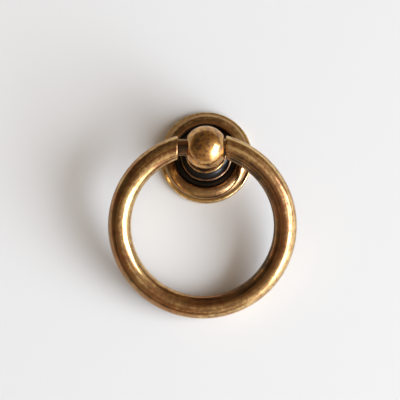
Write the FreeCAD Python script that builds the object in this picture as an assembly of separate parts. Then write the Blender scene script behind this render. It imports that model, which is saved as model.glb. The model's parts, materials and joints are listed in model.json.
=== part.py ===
# Ring pull handle in aged brass: a turned post with a ball head on a stepped round backplate,
# and a split ring whose two spigots turn in a hole through the ball.
#
# Millimetres. The origin is the centre of the backplate's back face, +Z runs out along the post,
# and the ring lies towards -Y with its far side touching the mounting surface at Z = 0.

import FreeCAD, Part
import math
import os

# Backplate
PLATE_DIAMETER = 25.0
PLATE_RIM_HEIGHT = 1.8
PLATE_RIM_WIDTH = 0.9
PLATE_RIM_ROUND = 0.45
PLATE_BACK_CHAMFER = 0.2
CUSHION_HEIGHT = 4.2
CUSHION_SHOULDER_DROP = 1.5
CUSHION_LIP_WIDTH = 0.95
CUSHION_LIP_DROP = 0.5
RECESS_DIAMETER = 16.4
RECESS_FLOOR_HEIGHT = 2.2

# Post
TAIL_DIAMETER = 8.0
TAIL_CLEARANCE = 0.05
TAIL_SET_BACK = 0.1
FLANGE_DIAMETER = 14.2
FLANGE_HEIGHT = 2.2
FLANGE_ROUND = 0.7
FLANGE_TOP_STEP = 0.2
LOWER_NECK_LENGTH = 3.95
LOWER_WAIST_DIAMETER = 9.0
COLLAR_DIAMETER = 11.0
COLLAR_THICKNESS = 1.0
COLLAR_TOP_STEP = 0.6
UPPER_NECK_LENGTH = 8.15
UPPER_WAIST_DIAMETER = 8.0
BALL_DIAMETER = 11.4
BALL_SEAT_DIAMETER = 8.8
BALL_FLAT_WIDTH = 9.6
FIXING_HOLE_DIAMETER = 3.3
FIXING_HOLE_DEPTH = 10.0
FIXING_HOLE_COUNTERSINK = 0.35
DRILL_POINT_ANGLE = 118.0

# Ring
RING_BAR_DIAMETER = 6.1
RING_OUTER_DIAMETER = 50.0
RING_GAP = 12.5
RING_END_ROUND = 0.4
RING_END_CLEARANCE = 0.5
SPIGOT_DIAMETER = 4.5
SPIGOT_LENGTH = 5.0
SPIGOT_TIP_CHAMFER = 0.4
SPIGOT_RUNNING_CLEARANCE = 0.05

# Heights up the post, from the mounting surface
FLANGE_TOP = RECESS_FLOOR_HEIGHT + FLANGE_HEIGHT
COLLAR_MIDDLE = FLANGE_TOP + LOWER_NECK_LENGTH
HINGE_HEIGHT = COLLAR_MIDDLE + UPPER_NECK_LENGTH

# Where the ring lies
RING_BAR_RADIUS = RING_BAR_DIAMETER / 2
RING_RADIUS = RING_OUTER_DIAMETER / 2 - RING_BAR_RADIUS
HINGE_TO_RING_CENTRE = math.sqrt(RING_RADIUS**2 - (RING_GAP / 2) ** 2)
RING_REST_ANGLE = math.degrees(
    math.asin((HINGE_HEIGHT - RING_BAR_RADIUS) / (HINGE_TO_RING_CENTRE + RING_RADIUS))
)
RING_SIDE_SHIFT = -(RING_GAP / 2 - BALL_FLAT_WIDTH / 2 - RING_END_CLEARANCE)

AXIS_X = FreeCAD.Vector(1, 0, 0)
AXIS_Z = FreeCAD.Vector(0, 0, 1)
ORIGIN = FreeCAD.Vector(0, 0, 0)
FULL_TURN = 360
SIDES = (-1, 1)
CUT_MARGIN = 1.0
SAME_POINT = 1e-6
ON_CUT_PLANE = 1e-4


def at(radius, height):
    """A point of a turned outline, at a radius from the post's axis and a height."""
    return FreeCAD.Vector(radius, 0, height)


def round_about(centre, start, end):
    """The shorter arc about a centre from start to end."""
    middle = (start + end) * 0.5 - centre
    middle.normalize()
    return Part.Arc(start, centre + middle * (start - centre).Length, end)


def level_top_centre(top, edge):
    """The centre of an arc that is level at its top and falls away to an edge."""
    width = edge.x - top.x
    drop = top.z - edge.z
    return top - at(0, (width**2 + drop**2) / (2 * drop))


def turned(curves):
    """The solid turned about the post's axis from a closed outline of curves."""
    wire = Part.Wire([curve.toShape() for curve in curves])
    return Part.Face(wire).revolve(ORIGIN, AXIS_Z, FULL_TURN)


def joined_by_lines(curves):
    """The curves in order, with a straight line wherever one ends away from the next one's start."""
    outline = []
    for curve, following in zip(curves, curves[1:] + curves[:1]):
        outline.append(curve)
        if (curve.EndPoint - following.StartPoint).Length > SAME_POINT:
            outline.append(Part.LineSegment(curve.EndPoint, following.StartPoint))
    return outline


def backplate():
    """The stepped disc: a narrow rim, a cushion moulding and a recess that the post's flange sits in."""
    outer = PLATE_DIAMETER / 2
    hole = TAIL_DIAMETER / 2 + TAIL_CLEARANCE
    cushion_outer = outer - PLATE_RIM_WIDTH
    recess = RECESS_DIAMETER / 2
    crown = at(recess + CUSHION_LIP_WIDTH, CUSHION_HEIGHT)
    shoulder_edge = at(cushion_outer, CUSHION_HEIGHT - CUSHION_SHOULDER_DROP)
    lip_edge = at(recess, CUSHION_HEIGHT - CUSHION_LIP_DROP)
    rim_edge = round_about(
        at(outer - PLATE_RIM_ROUND, PLATE_RIM_HEIGHT - PLATE_RIM_ROUND),
        at(outer, PLATE_RIM_HEIGHT - PLATE_RIM_ROUND),
        at(outer - PLATE_RIM_ROUND, PLATE_RIM_HEIGHT),
    )
    curves = [
        Part.LineSegment(at(hole, 0), at(outer - PLATE_BACK_CHAMFER, 0)),
        Part.LineSegment(at(outer - PLATE_BACK_CHAMFER, 0), at(outer, PLATE_BACK_CHAMFER)),
        rim_edge,
        Part.LineSegment(rim_edge.EndPoint, at(cushion_outer, PLATE_RIM_HEIGHT)),
        round_about(level_top_centre(crown, shoulder_edge), shoulder_edge, crown),
        round_about(level_top_centre(crown, lip_edge), crown, lip_edge),
        Part.LineSegment(at(recess, RECESS_FLOOR_HEIGHT), at(hole, RECESS_FLOOR_HEIGHT)),
    ]
    return turned(joined_by_lines(curves))


def post_blank():
    """The post as it leaves the lathe: tail, flange, two necks with a collar between them, and the ball."""
    tail = TAIL_DIAMETER / 2
    flange = FLANGE_DIAMETER / 2
    collar_lip = COLLAR_DIAMETER / 2 - COLLAR_THICKNESS / 2
    collar_under = at(collar_lip, COLLAR_MIDDLE - COLLAR_THICKNESS / 2)
    collar_over = at(collar_lip, COLLAR_MIDDLE + COLLAR_THICKNESS / 2)
    ball_centre = at(0, HINGE_HEIGHT)
    ball_radius = BALL_DIAMETER / 2
    seat_radius = BALL_SEAT_DIAMETER / 2
    ball_seat = at(seat_radius, HINGE_HEIGHT - math.sqrt(ball_radius**2 - seat_radius**2))
    ball_top = at(0, HINGE_HEIGHT + ball_radius)
    flange_edge = round_about(
        at(flange - FLANGE_ROUND, FLANGE_TOP - FLANGE_ROUND),
        at(flange, FLANGE_TOP - FLANGE_ROUND),
        at(flange - FLANGE_ROUND, FLANGE_TOP),
    )
    lower_foot = at(flange - FLANGE_ROUND - FLANGE_TOP_STEP, FLANGE_TOP)
    lower_waist = at(LOWER_WAIST_DIAMETER / 2, (FLANGE_TOP + collar_under.z) / 2)
    upper_foot = at(collar_lip - COLLAR_TOP_STEP, collar_over.z)
    upper_waist = at(UPPER_WAIST_DIAMETER / 2, (collar_over.z + ball_seat.z) / 2)
    curves = [
        Part.LineSegment(at(0, TAIL_SET_BACK), at(tail, TAIL_SET_BACK)),
        Part.LineSegment(at(tail, RECESS_FLOOR_HEIGHT), at(flange, RECESS_FLOOR_HEIGHT)),
        flange_edge,
        Part.Arc(lower_foot, lower_waist, collar_under),
        Part.Arc(collar_under, at(COLLAR_DIAMETER / 2, COLLAR_MIDDLE), collar_over),
        Part.Arc(upper_foot, upper_waist, ball_seat),
        Part.Arc(ball_seat, ball_centre + at(ball_radius, 0), ball_top),
    ]
    return turned(joined_by_lines(curves))


def fixing_hole():
    """The tapped hole's bore in the tail, with its countersink and drill point."""
    radius = FIXING_HOLE_DIAMETER / 2
    mouth = radius + FIXING_HOLE_COUNTERSINK
    bottom = TAIL_SET_BACK + FIXING_HOLE_DEPTH
    point_length = radius / math.tan(math.radians(DRILL_POINT_ANGLE / 2))
    outline = [
        at(0, TAIL_SET_BACK - CUT_MARGIN),
        at(mouth, TAIL_SET_BACK - CUT_MARGIN),
        at(mouth, TAIL_SET_BACK),
        at(radius, TAIL_SET_BACK + FIXING_HOLE_COUNTERSINK),
        at(radius, bottom),
        at(0, bottom + point_length),
    ]
    return turned([Part.LineSegment(a, b) for a, b in zip(outline, outline[1:] + outline[:1])])


def ball_post():
    """The post with its ball faced flat at both sides and drilled across, and its tail drilled."""
    hinge = at(0, HINGE_HEIGHT)
    ball_radius = BALL_DIAMETER / 2
    flat = BALL_FLAT_WIDTH / 2
    facing_radius = RING_BAR_RADIUS + RING_END_CLEARANCE
    facing_length = ball_radius - flat + CUT_MARGIN
    bore_radius = SPIGOT_DIAMETER / 2 + SPIGOT_RUNNING_CLEARANCE
    post = post_blank()
    for side in SIDES:
        face_centre = hinge + AXIS_X * (side * flat)
        post = post.cut(Part.makeCylinder(facing_radius, facing_length, face_centre, AXIS_X * side))
    bore_start = hinge - AXIS_X * (ball_radius + CUT_MARGIN)
    post = post.cut(Part.makeCylinder(bore_radius, 2 * (ball_radius + CUT_MARGIN), bore_start, AXIS_X))
    return post.cut(fixing_hole())


def end_face_edges(bar):
    """The edges round the two cut ends of the ring's bar."""
    half_gap = RING_GAP / 2
    edges = []
    for edge in bar.Edges:
        ends_and_middle = edge.discretize(3)
        if all(abs(abs(point.x) - half_gap) < ON_CUT_PLANE for point in ends_and_middle):
            edges.append(edge)
    return edges


def ring_bar():
    """The round bar of the ring, in its own plane with the hinge line on the X axis."""
    half_gap = RING_GAP / 2
    centre = FreeCAD.Vector(0, -HINGE_TO_RING_CENTRE, 0)
    bar = Part.makeTorus(RING_RADIUS, RING_BAR_RADIUS, centre, AXIS_Z)
    gap_depth = 2 * (RING_BAR_RADIUS + CUT_MARGIN)
    gap_corner = FreeCAD.Vector(-half_gap, -HINGE_TO_RING_CENTRE, -gap_depth / 2)
    bar = bar.cut(Part.makeBox(RING_GAP, RING_OUTER_DIAMETER, gap_depth, gap_corner))
    return bar.makeFillet(RING_END_ROUND, end_face_edges(bar))


def spigot(side):
    """One spigot of the ring, from inside the bar's end to its chamfered tip, on the hinge line."""
    half_gap = RING_GAP / 2
    root_depth = RING_BAR_RADIUS / 2
    tip = half_gap - SPIGOT_LENGTH
    radius = SPIGOT_DIAMETER / 2
    body_length = root_depth + SPIGOT_LENGTH - SPIGOT_TIP_CHAMFER
    root = AXIS_X * (side * (half_gap + root_depth))
    body = Part.makeCylinder(radius, body_length, root, AXIS_X * -side)
    chamfer_start = AXIS_X * (side * (tip + SPIGOT_TIP_CHAMFER))
    nose = Part.makeCone(
        radius, radius - SPIGOT_TIP_CHAMFER, SPIGOT_TIP_CHAMFER, chamfer_start, AXIS_X * -side
    )
    return body.fuse(nose)


def ring():
    """The split ring with its spigots, swung down until it touches the mounting surface."""
    shape = ring_bar()
    for side in SIDES:
        shape = shape.fuse(spigot(side))
    shape = shape.removeSplitter()
    shape.rotate(ORIGIN, AXIS_X, RING_REST_ANGLE)
    shape.translate(FreeCAD.Vector(RING_SIDE_SHIFT, 0, HINGE_HEIGHT))
    return shape


def main():
    os.makedirs("parts", exist_ok=True)
    for make in (backplate, ball_post, ring):
        shape = make()
        shape.exportStep(f"parts/{make.__name__}.step")
        print(
            f"{make.__name__}: {len(shape.Solids)} solid, valid {shape.isValid()},"
            f" {shape.Volume:.1f} mm3, Z from {shape.BoundBox.ZMin:.3f} to {shape.BoundBox.ZMax:.3f}"
        )
    print(f"hinge height {HINGE_HEIGHT:.3f}, ring rest angle {RING_REST_ANGLE:.3f} degrees")


main()
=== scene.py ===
import bpy
import cmath
import json
import math
from mathutils import Matrix, Vector


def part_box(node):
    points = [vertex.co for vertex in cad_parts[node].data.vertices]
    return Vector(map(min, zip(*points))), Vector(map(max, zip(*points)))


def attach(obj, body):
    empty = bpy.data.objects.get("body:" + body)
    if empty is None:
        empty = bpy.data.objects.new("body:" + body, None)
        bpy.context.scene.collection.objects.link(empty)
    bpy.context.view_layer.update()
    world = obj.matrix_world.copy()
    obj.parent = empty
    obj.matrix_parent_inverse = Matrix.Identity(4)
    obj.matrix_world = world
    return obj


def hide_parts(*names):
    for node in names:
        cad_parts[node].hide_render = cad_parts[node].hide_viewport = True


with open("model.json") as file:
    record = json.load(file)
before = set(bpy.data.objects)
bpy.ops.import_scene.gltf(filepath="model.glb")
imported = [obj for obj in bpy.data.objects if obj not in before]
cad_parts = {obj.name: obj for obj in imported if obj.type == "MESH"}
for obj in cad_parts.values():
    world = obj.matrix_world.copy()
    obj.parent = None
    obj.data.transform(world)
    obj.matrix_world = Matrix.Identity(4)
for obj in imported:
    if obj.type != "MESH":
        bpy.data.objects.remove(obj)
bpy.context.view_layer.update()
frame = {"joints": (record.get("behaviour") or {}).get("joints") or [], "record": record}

MM = 0.001
MERGE_DISTANCE = 1e-6
SHARP_ANGLE = math.radians(28)


# Sizes, in millimetres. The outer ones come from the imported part, and the mouldings follow its solids.

def spans(node):
    """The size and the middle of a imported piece, at rest."""
    low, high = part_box(node)
    return (high - low) / MM, (high + low) / 2 / MM


hinge_joint = frame["joints"][0]
thread_mount = frame["record"]["mounts"][0]
plate_span, _ = spans("backplate")
post_span, post_middle = spans("ball_post")
ring_span, ring_middle = spans("ring")

HINGE_HEIGHT = hinge_joint["pos_m"][2] / MM

PLATE_RADIUS = plate_span.x / 2
PLATE_HEIGHT = plate_span.z
PLATE_RIM_HEIGHT = 1.8
PLATE_RIM_WIDTH = 0.9
RIM_GROOVE = 0.12
PLATE_RIM_ROUND = 0.45
PLATE_BACK_CHAMFER = 0.2
SHOULDER_DROP = 1.5
LIP_WIDTH = 0.95
LIP_DROP = 0.5
RECESS_RADIUS = 8.2
RECESS_FLOOR = 2.2

FLANGE_RADIUS = post_span.x / 2
FLANGE_TOP = 4.4
FLANGE_ROUND = 0.7
FLANGE_STEP = 0.2
TAIL_RADIUS = 4.0
TAIL_CLEARANCE = 0.05
TAIL_END = post_middle.z - post_span.z / 2
TAIL_CHAMFER = 0.2
LOWER_WAIST_RADIUS = 4.5
COLLAR_RADIUS = 5.5
COLLAR_MIDDLE = 8.35
COLLAR_ROUND = 0.5
COLLAR_STEP = 0.6
UPPER_WAIST_RADIUS = 4.0
BALL_RADIUS = TAIL_END + post_span.z - HINGE_HEIGHT
BALL_SEAT_RADIUS = 4.4
BALL_SEAT_DEPTH = 0.5
BALL_FLAT = 4.8
BALL_FLAT_ROUND = 0.12
BORE_CLEARANCE = 0.05

THREAD_CORE_RADIUS = thread_mount["dims"]["r_mm"]
THREAD_LENGTH = thread_mount["dims"]["length_mm"]
THREAD_PITCH = 0.7
THREAD_DEPTH = 0.35
THREAD_ROWS_A_TURN = 8
DRILL_POINT_SLOPE = math.radians(31)

BAR_RADIUS = 3.05
RING_SKIN = 0.004
RING_RADIUS = ring_span.x / 2 - BAR_RADIUS - RING_SKIN
HALF_GAP = 6.25
RING_END_ROUND = 0.4
RING_END_RUN = 2.0
SPIGOT_RADIUS = 2.25
SPIGOT_LENGTH = 5.0
SPIGOT_CHAMFER = 0.4
HINGE_TO_RING_CENTRE = math.sqrt(RING_RADIUS**2 - HALF_GAP**2)
RING_REST_ANGLE = math.asin((HINGE_HEIGHT - BAR_RADIUS) / (HINGE_TO_RING_CENTRE + RING_RADIUS))
BAR_HALF_LENGTH = RING_RADIUS * (math.pi - math.asin(HALF_GAP / RING_RADIUS))

PLATE_SEGMENTS = 192
POST_SEGMENTS = 128
BAR_SEGMENTS = 72
BAR_ROWS = 440


# Patina, from 0 on rubbed metal through 0.5 on brown to 1 in a dark hollow. A little over 1 keeps a hollow
# dark through its blotches.

RIM_PATINA = 0.05
GROOVE_PATINA = 0.6
CUSHION_PATINA = (0.56, 0.37, 0.45, 0.62)
LIP_PATINA = (0.66, 0.78, 1.05)
RECESS_PATINA = 1.2
THREAD_PATINA = 0.3
FLANGE_PATINA = 1.1
BEAD_PATINA = (1.1, 1.1, 1.05, 0.85, 0.65, 0.6, 0.65, 0.95, 1.1)
LOWER_NECK_PATINA = (1.1, 1.05, 0.95, 0.85)
UPPER_NECK_PATINA = (0.9, 1.0, 1.0, 0.85)
SEAT_PATINA = 0.85
BALL_PATINA = 0.15
BORE_PATINA = 0.9
SPIGOT_PATINA = 0.85
BAR_PATINA = (0.58, 0.58, 0.52, 0.47, 0.45, 0.41, 0.36, 0.3)

# Painted shade and painted highlight on the bar's two sides, added to its patina: the side turned from the
# window is darkened and the side towards it lightened. So on the right the inner side is darker, on the left
# the outer one, and near the left end hardly either. Sides are in shares of the bar's radius, outer side
# first, and places along the bar in shares of its half length, from -1 at the right end to 1 at the left end.
RING_SIDE_SHADE = 0.26
SHADE_SIDES = (0.7, -0.85)
SHADE_SWAP = (0.4, -0.25)
SHADE_FADE = (1.0, 0.5)
SHADE_AT_LEFT_END = 0.1


# Outlines of the turned pieces

class Outline:
    """A half section walked from point to point. A point is radius + 1j * place along the axis.

    Each point keeps its patina, and how deep the thread is cut there, from 0 to 1. Along a line or an arc the
    patina runs to one value, or through a tuple of values at even steps.
    """

    def __init__(self, radius, place, patina=0.0):
        self.points = [complex(radius, place)]
        self.patina = [patina]
        self.thread = [0.0]

    def _add(self, points, patina, thread=0.0):
        """Appends points, with the patina running through its stops over them."""
        stops = (self.patina[-1], *(patina if isinstance(patina, tuple) else (patina,)))
        for count, point in enumerate(points, start=1):
            place = count / len(points) * (len(stops) - 1)
            before = min(int(place), len(stops) - 2)
            self.points.append(point)
            self.patina.append(stops[before] + (stops[before + 1] - stops[before]) * (place - before))
            self.thread.append(thread)

    def line(self, radius, place, patina=0.0, steps=1, thread=0.0):
        """A straight run to a point, in even steps."""
        start, end = self.points[-1], complex(radius, place)
        self._add([start + (end - start) * i / steps for i in range(1, steps + 1)], patina, thread)
        return self

    def arc(self, through, to, patina=0.0, steps=12):
        """An arc through one point to another, both as (radius, place)."""
        start, middle, end = self.points[-1], complex(*through), complex(*to)
        ratio = (end - start) / (middle - start)
        centre = start + (middle - start) * (ratio - abs(ratio) ** 2) / (2j * ratio.imag)
        sweep = cmath.phase((end - centre) / (start - centre))
        towards = cmath.phase((middle - centre) / (start - centre))
        if sweep * towards < 0:
            sweep += math.copysign(2 * math.pi, towards)
        turns = [cmath.exp(1j * sweep * i / steps) for i in range(1, steps + 1)]
        self._add([centre + (start - centre) * turn for turn in turns], patina)
        return self

    def round_about(self, centre, to, patina=0.0, steps=12):
        """The shorter arc about a centre to a point, both as (radius, place)."""
        middle, start, end = complex(*centre), self.points[-1], complex(*to)
        bisector = (start + end) / 2 - middle
        through = middle + bisector / abs(bisector) * abs(start - middle)
        return self.arc((through.real, through.imag), to, patina, steps)

    def to_object(self, name):
        """A loose chain of points in metres, with the patina and thread as attributes."""
        mesh = bpy.data.meshes.new(name)
        mesh.from_pydata([(p.real * MM, 0, p.imag * MM) for p in self.points], [], [])
        for label, values in (("patina", self.patina), ("thread", self.thread)):
            mesh.attributes.new(label, "FLOAT", "POINT").data.foreach_set("value", values)
        return bpy.data.objects.new(name, mesh)


def level_top_centre(top, edge):
    """The centre of an arc that is level at its top and falls away to an edge, all as (radius, place)."""
    width, drop = edge[0] - top[0], top[1] - edge[1]
    return top[0], top[1] - (width**2 + drop**2) / (2 * drop)


def backplate_outline():
    """The stepped disc: back face, rim, cushion moulding, recess and the hole for the post's tail."""
    hole = TAIL_RADIUS + TAIL_CLEARANCE
    cushion = PLATE_RADIUS - PLATE_RIM_WIDTH
    crown = (RECESS_RADIUS + LIP_WIDTH, PLATE_HEIGHT)
    shoulder_edge = (cushion, PLATE_HEIGHT - SHOULDER_DROP)
    lip_edge = (RECESS_RADIUS, PLATE_HEIGHT - LIP_DROP)
    rim_corner = PLATE_RIM_HEIGHT - PLATE_RIM_ROUND
    outline = Outline(hole, 0, 0.6)
    outline.line(PLATE_RADIUS - PLATE_BACK_CHAMFER, 0, 0.5, steps=8)
    outline.line(PLATE_RADIUS, PLATE_BACK_CHAMFER, 0.4)
    outline.line(PLATE_RADIUS, rim_corner, 0.35, steps=4)
    outline.round_about(
        (PLATE_RADIUS - PLATE_RIM_ROUND, rim_corner),
        (PLATE_RADIUS - PLATE_RIM_ROUND, PLATE_RIM_HEIGHT),
        RIM_PATINA,
    )
    outline.line(cushion + RIM_GROOVE, PLATE_RIM_HEIGHT, RIM_PATINA, steps=4)
    outline.line(cushion, PLATE_RIM_HEIGHT, GROOVE_PATINA, steps=2)
    outline.line(*shoulder_edge, GROOVE_PATINA, steps=6)
    outline.round_about(level_top_centre(crown, shoulder_edge), crown, CUSHION_PATINA, steps=28)
    outline.round_about(level_top_centre(crown, lip_edge), lip_edge, LIP_PATINA, steps=18)
    outline.line(RECESS_RADIUS, RECESS_FLOOR, RECESS_PATINA, steps=4)
    outline.line(hole, RECESS_FLOOR, RECESS_PATINA, steps=8)
    outline.line(hole, 0, 0.6, steps=4)
    return outline


def post_outline():
    """The post below its ball, from the bottom of the tapped hole out over the tail and up to the ball."""
    thread_mouth = TAIL_END + THREAD_DEPTH
    thread_bottom = thread_mouth + THREAD_LENGTH
    drill_point = thread_bottom + THREAD_CORE_RADIUS * math.tan(DRILL_POINT_SLOPE)
    thread_rows = round(THREAD_LENGTH / THREAD_PITCH * THREAD_ROWS_A_TURN)
    bead_centre = (FLANGE_RADIUS - FLANGE_ROUND, FLANGE_TOP - FLANGE_ROUND)
    collar_lip = COLLAR_RADIUS - COLLAR_ROUND
    under_collar = (collar_lip, COLLAR_MIDDLE - COLLAR_ROUND)
    over_collar = (collar_lip, COLLAR_MIDDLE + COLLAR_ROUND)
    seat = (BALL_SEAT_RADIUS, HINGE_HEIGHT - math.sqrt(BALL_RADIUS**2 - BALL_SEAT_RADIUS**2))
    lower_waist = (LOWER_WAIST_RADIUS, (FLANGE_TOP + under_collar[1]) / 2)
    upper_waist = (UPPER_WAIST_RADIUS, (over_collar[1] + seat[1]) / 2)
    outline = Outline(0, drill_point, THREAD_PATINA)
    outline.line(THREAD_CORE_RADIUS, thread_bottom, THREAD_PATINA, steps=4)
    outline.line(THREAD_CORE_RADIUS, thread_mouth, THREAD_PATINA, steps=thread_rows, thread=1.0)
    outline.line(THREAD_CORE_RADIUS + THREAD_DEPTH, TAIL_END, THREAD_PATINA, steps=2)
    outline.line(TAIL_RADIUS - TAIL_CHAMFER, TAIL_END, 0.4, steps=4)
    outline.line(TAIL_RADIUS, TAIL_END + TAIL_CHAMFER, 0.4)
    outline.line(TAIL_RADIUS, RECESS_FLOOR, 0.8, steps=4)
    outline.line(FLANGE_RADIUS, RECESS_FLOOR, FLANGE_PATINA, steps=6)
    outline.line(FLANGE_RADIUS, FLANGE_TOP - FLANGE_ROUND, FLANGE_PATINA, steps=4)
    outline.round_about(bead_centre, (bead_centre[0], FLANGE_TOP), BEAD_PATINA, steps=18)
    outline.line(FLANGE_RADIUS - FLANGE_ROUND - FLANGE_STEP, FLANGE_TOP, FLANGE_PATINA, steps=3)
    outline.arc(lower_waist, under_collar, LOWER_NECK_PATINA, steps=24)
    outline.round_about((collar_lip, COLLAR_MIDDLE), (COLLAR_RADIUS, COLLAR_MIDDLE), 0.0, steps=10)
    outline.round_about((collar_lip, COLLAR_MIDDLE), over_collar, 0.75, steps=10)
    outline.line(collar_lip - COLLAR_STEP, over_collar[1], 0.7, steps=6)
    outline.arc(upper_waist, seat, UPPER_NECK_PATINA, steps=28)
    outline.line(seat[0], seat[1] + BALL_SEAT_DEPTH, SEAT_PATINA, steps=2)
    outline.line(0, seat[1] + BALL_SEAT_DEPTH, SEAT_PATINA, steps=4)
    return outline


def ball_outline():
    """The ball turned about the hinge line: round outside, flat at both sides, with the cross hole in it."""
    bore = SPIGOT_RADIUS + BORE_CLEARANCE
    flat_edge = math.sqrt(BALL_RADIUS**2 - BALL_FLAT**2)
    start_angle = math.atan2(flat_edge + BALL_FLAT_ROUND, BALL_FLAT)
    edge = (BALL_RADIUS * math.sin(start_angle), BALL_RADIUS * math.cos(start_angle))
    flat_rim = flat_edge - BALL_FLAT_ROUND
    round_middle = BALL_FLAT - BALL_FLAT_ROUND / 4
    outline = Outline(bore, -BALL_FLAT, BORE_PATINA)
    outline.line(flat_rim, -BALL_FLAT, 0.6, steps=3)
    outline.arc((flat_edge, -round_middle), (edge[0], -edge[1]), BALL_PATINA, steps=4)
    outline.arc((BALL_RADIUS, 0), edge, BALL_PATINA, steps=64)
    outline.arc((flat_edge, round_middle), (flat_rim, BALL_FLAT), 0.1, steps=4)
    outline.line(bore, BALL_FLAT, BORE_PATINA, steps=3)
    outline.line(bore, -BALL_FLAT, BORE_PATINA, steps=8)
    return outline


def bar_outline():
    """The ring's bar laid straight: spigot, square end with its round, round bar, and the same again."""
    tip = BAR_HALF_LENGTH + SPIGOT_LENGTH
    end_radius = BAR_RADIUS - RING_END_ROUND
    shank = BAR_HALF_LENGTH - RING_END_ROUND
    outline = Outline(0, -tip, SPIGOT_PATINA)
    outline.line(SPIGOT_RADIUS - SPIGOT_CHAMFER, -tip, SPIGOT_PATINA, steps=3)
    outline.line(SPIGOT_RADIUS, SPIGOT_CHAMFER - tip, SPIGOT_PATINA)
    outline.line(SPIGOT_RADIUS, -BAR_HALF_LENGTH, SPIGOT_PATINA, steps=12)
    outline.line(end_radius, -BAR_HALF_LENGTH, 0.8, steps=3)
    outline.round_about((end_radius, -shank), (BAR_RADIUS, -shank), 0.25, steps=6)
    outline.line(BAR_RADIUS, RING_END_RUN - shank, 0.5, steps=8)
    outline.line(BAR_RADIUS, shank - RING_END_RUN, BAR_PATINA, steps=BAR_ROWS)
    outline.line(BAR_RADIUS, shank, 0.25, steps=8)
    outline.round_about((end_radius, shank), (end_radius, BAR_HALF_LENGTH), 0.8, steps=6)
    outline.line(SPIGOT_RADIUS, BAR_HALF_LENGTH, SPIGOT_PATINA, steps=3)
    outline.line(SPIGOT_RADIUS, tip - SPIGOT_CHAMFER, SPIGOT_PATINA, steps=12)
    outline.line(SPIGOT_RADIUS - SPIGOT_CHAMFER, tip, SPIGOT_PATINA)
    outline.line(0, tip, SPIGOT_PATINA, steps=3)
    return outline


# Node trees

def add(tree, kind, inputs=None, **settings):
    """A node in a tree, with its settings, and its inputs given as values or as sockets to link from."""
    node = tree.nodes.new(kind)
    for name, value in settings.items():
        setattr(node, name, value)
    for key, value in (inputs or {}).items():
        if isinstance(value, bpy.types.NodeSocket):
            tree.links.new(value, node.inputs[key])
        else:
            node.inputs[key].default_value = value
    return node


def calculate(tree, operation, *values, clamp=False):
    """The output of a Math node."""
    node = add(tree, "ShaderNodeMath", dict(enumerate(values)), operation=operation, use_clamp=clamp)
    return node.outputs[0]


def ranged(tree, value, from_low, from_high, to_low=0.0, to_high=1.0):
    """The output of a smooth Map Range node."""
    inputs = {"Value": value, 1: from_low, 2: from_high, 3: to_low, 4: to_high}
    return add(tree, "ShaderNodeMapRange", inputs, interpolation_type="SMOOTHSTEP").outputs[0]


def stored(tree, geometry, name, value, data_type="FLOAT"):
    """The geometry with a value kept on its points under a name."""
    inputs = {"Geometry": geometry, "Name": name, "Value": value}
    node = add(tree, "GeometryNodeStoreNamedAttribute", inputs, data_type=data_type, domain="POINT")
    return node.outputs[0]


def kept(tree, name):
    """The value that is kept on the points under a name."""
    node = add(tree, "GeometryNodeInputNamedAttribute", {"Name": name}, data_type="FLOAT")
    return node.outputs["Attribute"]


def geometry_tree(name, sockets):
    """An empty Geometry Nodes tree with these named inputs, its Group Input and its Group Output."""
    tree = bpy.data.node_groups.new(name, "GeometryNodeTree")
    for label, kind in sockets.items():
        tree.interface.new_socket(label, in_out="INPUT", socket_type="NodeSocket" + kind)
    tree.interface.new_socket("Geometry", in_out="OUTPUT", socket_type="NodeSocketGeometry")
    return tree, add(tree, "NodeGroupInput").outputs, add(tree, "NodeGroupOutput").inputs


def turning_tree():
    """Turns an outline about the Z axis: a grid of outline points by angles, rolled up and closed."""
    tree, given, result = geometry_tree(
        "turned piece",
        {"Outline": "Object", "Segments": "Int", "Thread pitch": "Float", "Thread depth": "Float"},
    )
    chain = add(tree, "GeometryNodeObjectInfo", {"Object": given["Outline"]}).outputs["Geometry"]
    points = add(tree, "GeometryNodeAttributeDomainSize", {"Geometry": chain}).outputs["Point Count"]
    columns = calculate(tree, "ADD", given["Segments"], 1)
    grid = add(tree, "GeometryNodeMeshGrid", {"Vertices X": points, "Vertices Y": columns}).outputs["Mesh"]
    index = add(tree, "GeometryNodeInputIndex").outputs[0]
    row = calculate(tree, "FLOOR", calculate(tree, "DIVIDE", index, columns))
    column = calculate(tree, "MODULO", index, columns)
    turn = calculate(tree, "SUBTRACT", 1, calculate(tree, "DIVIDE", column, given["Segments"]))
    angle = calculate(tree, "MULTIPLY", turn, 2 * math.pi)

    def sampled(kind, value):
        inputs = {"Geometry": chain, "Value": value, "Index": row}
        return add(tree, "GeometryNodeSampleIndex", inputs, data_type=kind).outputs[0]

    def along_outline(label):
        return sampled("FLOAT", kept(tree, label))

    position = add(tree, "GeometryNodeInputPosition").outputs[0]
    place = add(tree, "ShaderNodeSeparateXYZ", {0: sampled("FLOAT_VECTOR", position)}).outputs
    pitches = calculate(tree, "DIVIDE", place["Z"], given["Thread pitch"])
    turns_up = calculate(tree, "SUBTRACT", pitches, turn)
    ridge = calculate(tree, "PINGPONG", calculate(tree, "MULTIPLY", turns_up, 2), 1)
    depth = calculate(tree, "MULTIPLY", ridge, given["Thread depth"])
    cut = calculate(tree, "MULTIPLY", depth, along_outline("thread"))
    radius = calculate(tree, "ADD", place["X"], cut)
    rolled = add(
        tree,
        "ShaderNodeCombineXYZ",
        {
            "X": calculate(tree, "MULTIPLY", radius, calculate(tree, "COSINE", angle)),
            "Y": calculate(tree, "MULTIPLY", radius, calculate(tree, "SINE", angle)),
            "Z": place["Z"],
        },
    ).outputs[0]
    marked = stored(tree, grid, "patina", along_outline("patina"))
    shaped = add(tree, "GeometryNodeSetPosition", {"Geometry": marked, "Position": rolled}).outputs[0]
    inputs = {"Geometry": shaped, "Distance": MERGE_DISTANCE}
    closed = add(tree, "GeometryNodeMergeByDistance", inputs).outputs[0]
    tree.links.new(closed, result["Geometry"])
    return tree


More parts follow.
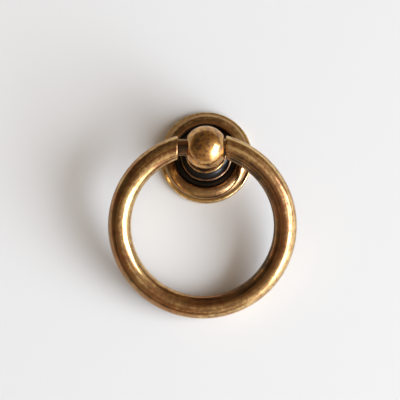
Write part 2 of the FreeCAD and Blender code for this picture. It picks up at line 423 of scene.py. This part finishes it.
def lathe_marked(tree, geometry):
    """The geometry with its place across and around the lathe's marks kept on its points."""
    position = add(tree, "GeometryNodeInputPosition").outputs[0]
    outwards = add(tree, "ShaderNodeVectorMath", {0: position, 1: (1, 1, 0)}, operation="MULTIPLY").outputs[0]
    radius = add(tree, "ShaderNodeVectorMath", {0: outwards}, operation="LENGTH").outputs["Value"]
    around = add(tree, "ShaderNodeVectorMath", {0: outwards}, operation="NORMALIZE").outputs[0]
    turned_to = add(tree, "ShaderNodeSeparateXYZ", {0: around}).outputs
    height = add(tree, "ShaderNodeSeparateXYZ", {0: position}).outputs["Z"]
    across = calculate(tree, "SUBTRACT", radius, height)
    inputs = {"X": across, "Y": turned_to["X"], "Z": turned_to["Y"]}
    place = add(tree, "ShaderNodeCombineXYZ", inputs).outputs[0]
    return stored(tree, geometry, "worked", place, data_type="FLOAT_VECTOR")


def finish_tree(tree, geometry, material, result):
    """Sharp creases where faces meet at more than the sharp angle, smooth elsewhere, and the material."""
    smooth = add(tree, "GeometryNodeSetShadeSmooth", {"Geometry": geometry, "Shade Smooth": True}).outputs[0]
    bend = add(tree, "GeometryNodeInputMeshEdgeAngle").outputs["Unsigned Angle"]
    crease = add(tree, "FunctionNodeCompare", {0: bend, 1: SHARP_ANGLE}, operation="GREATER_THAN").outputs[0]
    inputs = {"Geometry": smooth, "Selection": crease, "Shade Smooth": False}
    creased = add(tree, "GeometryNodeSetShadeSmooth", inputs, domain="EDGE").outputs[0]
    real = add(tree, "GeometryNodeRealizeInstances", {"Geometry": creased}).outputs[0]
    painted = add(tree, "GeometryNodeSetMaterial", {"Geometry": real, "Material": material}).outputs[0]
    tree.links.new(painted, result["Geometry"])


def turned(tree, turning, outline, segments, pitch=1.0, depth=0.0):
    """The geometry of one turned outline inside another tree."""
    inputs = {"Outline": outline, "Segments": segments, "Thread pitch": pitch, "Thread depth": depth}
    return add(tree, "GeometryNodeGroup", inputs, node_tree=turning).outputs[0]


def backplate_tree(turning):
    """The stepped disc, turned in one."""
    tree, given, result = geometry_tree(
        "stepped disc", {"Outline": "Object", "Segments": "Int", "Material": "Material"}
    )
    disc = turned(tree, turning, given["Outline"], given["Segments"])
    finish_tree(tree, lathe_marked(tree, disc), given["Material"], result)
    return tree


def ball_post_tree(turning):
    """The turned post joined to the ball, which is turned about the hinge line."""
    tree, given, result = geometry_tree(
        "ball on a turned post",
        {
            "Post outline": "Object",
            "Ball outline": "Object",
            "Segments": "Int",
            "Thread pitch": "Float",
            "Thread depth": "Float",
            "Hinge height": "Float",
            "Material": "Material",
        },
    )
    post = turned(
        tree, turning, given["Post outline"], given["Segments"], given["Thread pitch"], given["Thread depth"]
    )
    ball = turned(tree, turning, given["Ball outline"], given["Segments"])
    lifted = add(tree, "ShaderNodeCombineXYZ", {"Z": given["Hinge height"]}).outputs[0]
    inputs = {"Geometry": ball, "Translation": lifted, "Rotation": (0, math.pi / 2, 0)}
    placed = add(tree, "GeometryNodeTransform", inputs).outputs[0]
    union = add(tree, "GeometryNodeMeshBoolean", operation="UNION", solver="EXACT")
    both = add(tree, "GeometryNodeJoinGeometry")
    for half in (placed, post):
        tree.links.new(half, union.inputs["Mesh 2"])
        tree.links.new(half, both.inputs["Geometry"])
    inputs = {"Mesh": both.outputs["Geometry"], "Value": kept(tree, "patina")}
    nearest = add(tree, "GeometryNodeSampleNearestSurface", inputs, data_type="FLOAT").outputs["Value"]
    marked = stored(tree, union.outputs["Mesh"], "patina", nearest)
    finish_tree(tree, lathe_marked(tree, marked), given["Material"], result)
    return tree


def ring_tree(turning):
    """Bends the straight bar round a circle so that its ends stay square to the hinge line, and lays it down.

    A bar point keeps its own circle about the ring's centre, and its place along the bar becomes an angle.
    The spigots stay straight on the hinge line. One side of the bar is painted darker and the other lighter:
    painted shade on the side turned from the window, painted highlight on the side towards it.
    """
    tree, given, result = geometry_tree(
        "split ring",
        {
            "Outline": "Object",
            "Segments": "Int",
            "Ring radius": "Float",
            "Half gap": "Float",
            "Bar half length": "Float",
            "Bar radius": "Float",
            "Spigot radius": "Float",
            "Side shade": "Float",
            "Hinge to centre": "Float",
            "Rest angle": "Float",
            "Side shift": "Float",
            "Hinge height": "Float",
            "Material": "Material",
        },
    )
    position = add(tree, "GeometryNodeInputPosition").outputs[0]
    bar = turned(tree, turning, given["Outline"], given["Segments"])
    straight = add(tree, "ShaderNodeSeparateXYZ", {0: position}).outputs
    out, across, along = straight["X"], straight["Y"], straight["Z"]
    share = calculate(tree, "DIVIDE", along, given["Bar half length"])
    # Painted shade and painted highlight: the bar's side turned from the window gets more patina, the side
    # towards it less.
    side = ranged(tree, calculate(tree, "DIVIDE", out, given["Bar radius"]), *SHADE_SIDES, -1.0, 1.0)
    swap = ranged(tree, share, *SHADE_SWAP, -1.0, 1.0)
    fade = ranged(tree, share, *SHADE_FADE, SHADE_AT_LEFT_END, 1.0)
    for change in (swap, fade):
        side = calculate(tree, "MULTIPLY", side, change)
    patina_and_side_shade = calculate(tree, "MULTIPLY_ADD", side, given["Side shade"], kept(tree, "patina"))
    # The stored patina holds the painted side shade as well as the bar's own patina.
    bar = stored(tree, bar, "patina", patina_and_side_shade)
    bar = stored(tree, bar, "worked", position, data_type="FLOAT_VECTOR")
    circle = calculate(tree, "ADD", given["Ring radius"], out)
    end_angle = calculate(tree, "ARCSINE", calculate(tree, "DIVIDE", given["Half gap"], circle))
    half_sweep = calculate(tree, "SUBTRACT", math.pi, end_angle)
    angle = calculate(tree, "ADD", math.pi, calculate(tree, "MULTIPLY", share, half_sweep))
    bent_y = calculate(tree, "MULTIPLY", circle, calculate(tree, "COSINE", angle))
    bent = add(
        tree,
        "ShaderNodeCombineXYZ",
        {
            "X": calculate(tree, "MULTIPLY", circle, calculate(tree, "SINE", angle)),
            "Y": calculate(tree, "SUBTRACT", bent_y, given["Hinge to centre"]),
            "Z": across,
        },
    ).outputs[0]
    past_end = calculate(tree, "SUBTRACT", calculate(tree, "ABSOLUTE", along), given["Bar half length"])
    reach = calculate(tree, "SUBTRACT", past_end, given["Half gap"])
    spigot_x = calculate(tree, "MULTIPLY", calculate(tree, "SIGN", along), reach)
    spigot = add(tree, "ShaderNodeCombineXYZ", {"X": spigot_x, "Y": out, "Z": across}).outputs[0]
    across_squared = calculate(tree, "MULTIPLY", across, across)
    thickness = calculate(tree, "SQRT", calculate(tree, "MULTIPLY_ADD", out, out, across_squared))
    spigot_limit = calculate(tree, "ADD", given["Spigot radius"], MERGE_DISTANCE)
    thin = calculate(tree, "LESS_THAN", thickness, spigot_limit)
    inputs = {"Switch": thin, "False": bent, "True": spigot}
    choice = add(tree, "GeometryNodeSwitch", inputs, input_type="VECTOR").outputs[0]
    shaped = add(tree, "GeometryNodeSetPosition", {"Geometry": bar, "Position": choice}).outputs[0]
    inputs = {"X": given["Side shift"], "Z": given["Hinge height"]}
    lifted = add(tree, "ShaderNodeCombineXYZ", inputs).outputs[0]
    swung = add(tree, "ShaderNodeCombineXYZ", {"X": given["Rest angle"]}).outputs[0]
    inputs = {"Geometry": shaped, "Translation": lifted, "Rotation": swung}
    laid = add(tree, "GeometryNodeTransform", inputs).outputs[0]
    finish_tree(tree, laid, given["Material"], result)
    return tree


def piece_from_tree(name, tree, values):
    """A plain mesh object made by a Geometry Nodes tree, with the tree's inputs given by name."""
    carrier = bpy.data.objects.new(name + "_carrier", bpy.data.meshes.new(name + "_carrier"))
    bpy.context.scene.collection.objects.link(carrier)
    modifier = carrier.modifiers.new("shape", "NODES")
    modifier.node_group = tree
    for item in tree.interface.items_tree:
        if item.in_out == "INPUT":
            modifier[item.identifier] = values[item.name]
    evaluated = carrier.evaluated_get(bpy.context.evaluated_depsgraph_get())
    mesh = bpy.data.meshes.new_from_object(evaluated)
    mesh.name = name
    bpy.data.objects.remove(carrier)
    piece = bpy.data.objects.new(name, mesh)
    bpy.context.scene.collection.objects.link(piece)
    return piece


# Finishes. Texture scales are per metre, and a streak's scale is small along the way the piece was worked.

CLOUD_SCALE = 260
BLOTCH_SCALE = 900
SPECK_SCALE = 3200
REDDISH_SCALE = 170
BAR_STREAKS = (1000, 1000, 20)
LATHE_STREAKS = (1500, 1.2, 1.2)
SPECK_PATINA = 0.2
CALM_FROM, CALM_BY = 0.4, 0.7
CALM_BLOTCHING = 0.25
STREAK_ROUGHNESS = 0.14
DARK_ROUGHNESS = 0.15
DARK_LACQUER_LOSS = 0.5
BLOTCH_HEIGHT = 0.12
RELIEF_DISTANCE = 0.0001
RELIEF_STRENGTH = 0.2
EDGE_TINT = (0.85, 0.70, 0.50, 1)
LACQUER_ROUGHNESS = 0.10
LACQUER_IOR = 1.5
FLOOR_COLOUR = (0.85, 0.85, 0.85, 1)
FLOOR_ROUGHNESS = 0.6


def shader_group(name, inputs, outputs):
    """An empty shader node group with named sockets, and its Group Input and Group Output."""
    group = bpy.data.node_groups.new(name, "ShaderNodeTree")
    for label, kind in inputs.items():
        group.interface.new_socket(label, in_out="INPUT", socket_type="NodeSocket" + kind)
    for label, kind in outputs.items():
        group.interface.new_socket(label, in_out="OUTPUT", socket_type="NodeSocket" + kind)
    return group, add(group, "NodeGroupInput").outputs, add(group, "NodeGroupOutput").inputs


def mixed(tree, factor, first, second, blend_type="MIX"):
    """The output of a colour Mix node."""
    inputs = {"Factor": factor, "A": first, "B": second}
    return add(tree, "ShaderNodeMix", inputs, data_type="RGBA", blend_type=blend_type).outputs["Result"]


def noise(tree, vector, scale, detail=3.0, roughness=0.5):
    """The value of a Noise texture."""
    inputs = {"Vector": vector, "Scale": scale, "Detail": detail, "Roughness": roughness}
    return add(tree, "ShaderNodeTexNoise", inputs).outputs["Fac"]


def aged_brass_group():
    """Brass browned by age: dark where patina stays, golden where hands rub it, with drawn-out streaks.

    Blotches calm down where the patina is deep, and the lacquer is worn where the brass is dark.
    """
    group, given, result = shader_group(
        "aged brass",
        {
            "Surface": "Vector",
            "Streak": "Vector",
            "Patina": "Float",
            "Rubbed colour": "Color",
            "Brown colour": "Color",
            "Reddish colour": "Color",
            "Dark colour": "Color",
            "Clouding": "Float",
            "Blotching": "Float",
            "Streaking": "Float",
            "Smoothest": "Float",
            "Lacquer": "Float",
        },
        {"Colour": "Color", "Roughness": "Float", "Lacquer": "Float", "Height": "Float"},
    )
    surface = given["Surface"]
    clouds = noise(group, surface, CLOUD_SCALE, detail=4)
    blotches = ranged(group, noise(group, surface, BLOTCH_SCALE, detail=4, roughness=0.6), 0.35, 0.65)
    streaks = noise(group, given["Streak"], 1.0, detail=5, roughness=0.6)
    specks = ranged(group, noise(group, surface, SPECK_SCALE, detail=2), 0.60, 0.72)
    reddish = ranged(group, noise(group, surface, REDDISH_SCALE, detail=2), 0.40, 0.60)
    wear = calculate(group, "MULTIPLY_ADD", specks, SPECK_PATINA, given["Patina"])
    calm = ranged(group, given["Patina"], CALM_FROM, CALM_BY, 1.0, CALM_BLOTCHING)
    blotching = calculate(group, "MULTIPLY", given["Blotching"], calm)
    for texture, share in ((clouds, given["Clouding"]), (blotches, blotching), (streaks, given["Streaking"])):
        wear = calculate(group, "MULTIPLY_ADD", calculate(group, "SUBTRACT", texture, 0.5), share, wear)
    brown = ranged(group, wear, 0.0, 0.5)
    dark = ranged(group, wear, 0.5, 1.0)
    browned = mixed(group, reddish, given["Brown colour"], given["Reddish colour"])
    rubbed = mixed(group, brown, given["Rubbed colour"], browned)
    fine = calculate(group, "MULTIPLY_ADD", streaks, STREAK_ROUGHNESS, given["Smoothest"])
    unworn = calculate(group, "MULTIPLY_ADD", dark, -DARK_LACQUER_LOSS, 1.0)
    for label, value in (
        ("Colour", mixed(group, dark, rubbed, given["Dark colour"])),
        ("Roughness", calculate(group, "MULTIPLY_ADD", dark, DARK_ROUGHNESS, fine)),
        ("Lacquer", calculate(group, "MULTIPLY", given["Lacquer"], unworn)),
        ("Height", calculate(group, "MULTIPLY_ADD", blotches, BLOTCH_HEIGHT, streaks)),
    ):
        group.links.new(value, result[label])
    return group


def brass_material(name, group, streak_scale, values):
    """A brass finish whose streaks follow the way the piece was worked."""
    material = bpy.data.materials.new(name)
    material.use_nodes = True
    tree = material.node_tree
    tree.nodes.clear()
    surface = add(tree, "ShaderNodeTexCoord").outputs["Object"]
    worked = add(tree, "ShaderNodeAttribute", attribute_name="worked").outputs["Vector"]
    patina = add(tree, "ShaderNodeAttribute", attribute_name="patina").outputs["Fac"]
    inputs = {"Vector": worked, "Scale": streak_scale}
    streak = add(tree, "ShaderNodeMapping", inputs, vector_type="POINT").outputs[0]
    inputs = {"Surface": surface, "Streak": streak, "Patina": patina, **values}
    brass = add(tree, "ShaderNodeGroup", inputs, node_tree=group).outputs
    inputs = {"Height": brass["Height"], "Distance": RELIEF_DISTANCE, "Strength": RELIEF_STRENGTH}
    relief = add(tree, "ShaderNodeBump", inputs).outputs[0]
    shader = add(
        tree,
        "ShaderNodeBsdfPrincipled",
        {
            "Base Color": brass["Colour"],
            "Roughness": brass["Roughness"],
            "Metallic": 1.0,
            "Specular Tint": EDGE_TINT,
            "Coat Weight": brass["Lacquer"],
            "Coat Roughness": LACQUER_ROUGHNESS,
            "Coat IOR": LACQUER_IOR,
            "Normal": relief,
        },
    ).outputs[0]
    add(tree, "ShaderNodeOutputMaterial", {"Surface": shader})
    return material


def floor_material():
    """The plain pale floor."""
    material = bpy.data.materials.new("pale_floor")
    material.use_nodes = True
    shader = material.node_tree.nodes["Principled BSDF"]
    shader.inputs["Base Color"].default_value = FLOOR_COLOUR
    shader.inputs["Roughness"].default_value = FLOOR_ROUGHNESS
    return material


# The part

RING_FINISH = {
    "Rubbed colour": (0.760, 0.520, 0.225, 1),
    "Brown colour": (0.370, 0.205, 0.078, 1),
    "Reddish colour": (0.355, 0.150, 0.054, 1),
    "Dark colour": (0.060, 0.040, 0.024, 1),
    "Clouding": 0.8,
    "Blotching": 0.28,
    "Streaking": 1.8,
    "Smoothest": 0.10,
    "Lacquer": 0.55,
}
POST_FINISH = {
    "Rubbed colour": (0.650, 0.350, 0.102, 1),
    "Brown colour": (0.314, 0.185, 0.095, 1),
    "Reddish colour": (0.314, 0.151, 0.067, 1),
    "Dark colour": (0.022, 0.022, 0.024, 1),
    "Clouding": 0.8,
    "Blotching": 0.7,
    "Streaking": 0.3,
    "Smoothest": 0.13,
    "Lacquer": 0.6,
}
PLATE_FINISH = {
    "Rubbed colour": (0.930, 0.680, 0.330, 1),
    "Brown colour": (0.400, 0.248, 0.106, 1),
    "Reddish colour": (0.370, 0.196, 0.084, 1),
    "Dark colour": (0.042, 0.040, 0.040, 1),
    "Clouding": 0.5,
    "Blotching": 0.3,
    "Streaking": 0.9,
    "Smoothest": 0.08,
    "Lacquer": 0.3,
}


def build_part():
    """The three pieces in their places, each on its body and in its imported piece's stead."""
    turning = turning_tree()
    brass = aged_brass_group()
    ring_brass = brass_material("ring_brass", brass, BAR_STREAKS, RING_FINISH)
    post_brass = brass_material("post_brass", brass, LATHE_STREAKS, POST_FINISH)
    plate_brass = brass_material("plate_brass", brass, LATHE_STREAKS, PLATE_FINISH)
    plate = piece_from_tree(
        "backplate_turned",
        backplate_tree(turning),
        {
            "Outline": backplate_outline().to_object("backplate_outline"),
            "Segments": PLATE_SEGMENTS,
            "Material": plate_brass,
        },
    )
    post = piece_from_tree(
        "ball_post_turned",
        ball_post_tree(turning),
        {
            "Post outline": post_outline().to_object("post_outline"),
            "Ball outline": ball_outline().to_object("ball_outline"),
            "Segments": POST_SEGMENTS,
            "Thread pitch": THREAD_PITCH * MM,
            "Thread depth": THREAD_DEPTH * MM,
            "Hinge height": HINGE_HEIGHT * MM,
            "Material": post_brass,
        },
    )
    ring = piece_from_tree(
        "ring_bent",
        ring_tree(turning),
        {
            "Outline": bar_outline().to_object("bar_outline"),
            "Segments": BAR_SEGMENTS,
            "Ring radius": RING_RADIUS * MM,
            "Half gap": HALF_GAP * MM,
            "Bar half length": BAR_HALF_LENGTH * MM,
            "Bar radius": BAR_RADIUS * MM,
            "Spigot radius": SPIGOT_RADIUS * MM,
            # Painted shade and painted highlight on the bar's sides, added to its patina.
            "Side shade": RING_SIDE_SHADE,
            "Hinge to centre": HINGE_TO_RING_CENTRE * MM,
            "Rest angle": RING_REST_ANGLE,
            "Side shift": ring_middle.x * MM,
            "Hinge height": HINGE_HEIGHT * MM,
            "Material": ring_brass,
        },
    )
    for piece, node, body in (
        (plate, "backplate", "base"),
        (post, "ball_post", "base"),
        (ring, "ring", "ring"),
    ):
        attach(piece, body)
        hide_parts(node)


# The studio, in metres. The sensor is in millimetres, and the focal length in pixels of the image's width.

FLOOR_SIZE = 2.0
CAMERA_DISTANCE = 0.473
CAMERA_TILT = math.radians(8.72)
CAMERA_YAW = math.radians(0.84)
CAMERA_AIM = Vector((-1.72, -11.43, 0)) * MM
FOCAL_PIXELS = 1745
IMAGE_PIXELS = 400
SENSOR_WIDTH = 36
CAMERA_CLIP = 0.01
KEY_DIRECTION = Vector((0.803, -0.324, 0.500)).normalized()
KEY_DISTANCE = 2.0
KEY_SIZE = (2.0, 1.1)
KEY_RADIANCE = 8.4
KEY_COLOUR = (0.81, 0.905, 1.0)
ROOM_DIRECTION = Vector((0.80, -0.45, 0.40)).normalized()
ROOM_LIGHT = (
    (0.23, (0.110, 0.086, 0.060, 1)),
    (0.33, (0.142, 0.108, 0.074, 1)),
    (0.50, (0.191, 0.136, 0.088, 1)),
    (0.66, (0.255, 0.179, 0.116, 1)),
    (0.74, (0.367, 0.287, 0.212, 1)),
    (0.87, (0.689, 0.603, 0.535, 1)),
    (0.96, (1.445, 1.377, 1.326, 1)),
)
LOW_WALL_LIGHT = (0.260, 0.187, 0.123, 1)
LOW_WALL_TOP = 0.36
LOW_WALL_FULL = 0.08
FRONT_LIGHT = (0.425, 0.327, 0.234, 1)
LOW_WINDOW_DIRECTION = Vector((0.73, -0.67, 0.11)).normalized()
LOW_WINDOW_LIGHT = (5.0, 5.2, 5.4, 1)
LOW_WINDOW_EDGE = math.radians(26)
LOW_WINDOW_FULL = math.radians(10)


def facing(back, sideways):
    """A rotation whose Z axis is back and whose X axis is nearest to sideways."""
    z = back.normalized()
    x = (sideways - z * sideways.dot(z)).normalized()
    return Matrix((x, z.cross(x), z)).transposed()


def add_camera():
    """A long lens almost straight above, a little to the front."""
    camera = bpy.data.objects.new("camera", bpy.data.cameras.new("camera"))
    bpy.context.scene.collection.objects.link(camera)
    camera.data.sensor_width = SENSOR_WIDTH
    camera.data.lens = FOCAL_PIXELS / IMAGE_PIXELS * SENSOR_WIDTH
    camera.data.clip_start = CAMERA_CLIP
    back = Vector(
        (
            math.sin(CAMERA_YAW),
            -math.sin(CAMERA_TILT) * math.cos(CAMERA_YAW),
            math.cos(CAMERA_TILT) * math.cos(CAMERA_YAW),
        )
    )
    turn = facing(back, Vector((math.cos(CAMERA_YAW), 0, -math.sin(CAMERA_YAW))))
    camera.matrix_world = Matrix.Translation(CAMERA_AIM + back * CAMERA_DISTANCE) @ turn.to_4x4()
    bpy.context.scene.camera = camera


def add_key_light():
    """A large window of even brightness, up at the right."""
    light = bpy.data.lights.new("window_light", "AREA")
    light.shape = "RECTANGLE"
    light.size, light.size_y = KEY_SIZE
    light.energy = KEY_RADIANCE * math.pi * KEY_SIZE[0] * KEY_SIZE[1]
    light.color = KEY_COLOUR
    lamp = bpy.data.objects.new("window_light", light)
    bpy.context.scene.collection.objects.link(lamp)
    turn = facing(KEY_DIRECTION, Vector((0, 0, 1)).cross(KEY_DIRECTION))
    lamp.matrix_world = Matrix.Translation(KEY_DIRECTION * KEY_DISTANCE) @ turn.to_4x4()


def add_world():
    """Soft room light that falls off away from the window's side, paler low down and in front.

    A bright low window stands below the large one, nearer to the front.
    """
    world = bpy.data.worlds.new("room")
    world.use_nodes = True
    tree = world.node_tree
    tree.nodes.clear()
    direction = add(tree, "ShaderNodeTexCoord").outputs["Generated"]
    inputs = {0: direction, 1: ROOM_DIRECTION}
    sideways = add(tree, "ShaderNodeVectorMath", inputs, operation="DOT_PRODUCT").outputs["Value"]
    place = calculate(tree, "MULTIPLY_ADD", sideways, 0.5, 0.5)
    ramp = add(tree, "ShaderNodeValToRGB", {"Fac": place})
    stops = ramp.color_ramp.elements
    stops[0].position, stops[0].color = ROOM_LIGHT[0]
    stops[1].position, stops[1].color = ROOM_LIGHT[-1]
    for position, colour in ROOM_LIGHT[1:-1]:
        stops.new(position).color = colour
    towards = add(tree, "ShaderNodeSeparateXYZ", {0: direction}).outputs
    low = ranged(tree, towards["Z"], LOW_WALL_TOP, LOW_WALL_FULL)
    front = ranged(tree, towards["Y"], 0.0, -1.0)
    room = mixed(tree, low, ramp.outputs["Color"], LOW_WALL_LIGHT, blend_type="LIGHTEN")
    room = mixed(tree, front, room, FRONT_LIGHT, blend_type="LIGHTEN")
    inputs = {0: direction, 1: LOW_WINDOW_DIRECTION}
    nearness = add(tree, "ShaderNodeVectorMath", inputs, operation="DOT_PRODUCT").outputs["Value"]
    low_window = ranged(tree, nearness, math.cos(LOW_WINDOW_EDGE), math.cos(LOW_WINDOW_FULL))
    room = mixed(tree, low_window, room, LOW_WINDOW_LIGHT, blend_type="LIGHTEN")
    background = add(tree, "ShaderNodeBackground", {"Color": room}).outputs[0]
    add(tree, "ShaderNodeOutputWorld", {"Surface": background})
    bpy.context.scene.world = world


def add_floor():
    """One square face at the height of the mounting surface."""
    mesh = bpy.data.meshes.new("floor")
    half = FLOOR_SIZE / 2
    corners = [(-half, -half, 0), (half, -half, 0), (half, half, 0), (-half, half, 0)]
    mesh.from_pydata(corners, [], [(0, 1, 2, 3)])
    mesh.materials.append(floor_material())
    floor = bpy.data.objects.new("floor", mesh)
    bpy.context.scene.collection.objects.link(floor)


build_part()
add_floor()
add_key_light()
add_world()
add_camera()
bpy.context.scene.view_settings.view_transform = "Standard"
